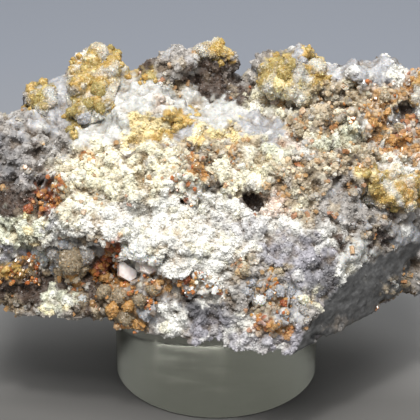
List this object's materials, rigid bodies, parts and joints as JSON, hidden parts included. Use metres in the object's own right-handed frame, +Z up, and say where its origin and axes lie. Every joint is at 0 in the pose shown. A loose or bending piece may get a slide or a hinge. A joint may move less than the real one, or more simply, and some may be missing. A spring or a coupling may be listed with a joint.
{
  "type": "vanadinite specimen on display stand",
  "caption": "Hand-size block of crusted ore with golden crystal balls and red hexagonal crystals in its hollows, resting on a short clear acrylic cylinder.",
  "frame": {"origin": "centre of the acrylic cylinder's foot, on the surface it stands on", "axes": "+Z up, +X to the right across the display face, +Y away from the display face"},
  "size_m": [0.0749, 0.0461, 0.0504],
  "materials": {
    "pale_crust": "dry granular crust of white, cream and lilac-grey crystals",
    "golden_balls": "glossy, sugary balls of fine crystals",
    "red_crystals": "resin-like gloss on flat crystal faces",
    "pale_plate": "translucent, glossy flat faces",
    "clear_acrylic": "clear, polished all over"
  },
  "bodies": {
    "root": {"matrix_rock": "pale_crust", "golden_balls_left_knoll": "golden_balls", "golden_balls_left_flank": "golden_balls", "golden_balls_back_edge": "golden_balls", "golden_balls_top_pile": "golden_balls", "golden_balls_right_side": "golden_balls", "golden_balls_far_right": "golden_balls", "red_crystals_left_hole": "red_crystals", "red_crystals_left_hollow": "red_crystals", "red_crystals_centre_hollow": "red_crystals", "red_crystals_under_lip": "red_crystals", "red_crystals_front_pit": "red_crystals", "red_crystals_brow": "red_crystals", "red_crystals_right_shoulder": "red_crystals", "pale_plate_crystal": "pale_plate", "acrylic_stand": "clear_acrylic"}
  },
  "joints": []
}
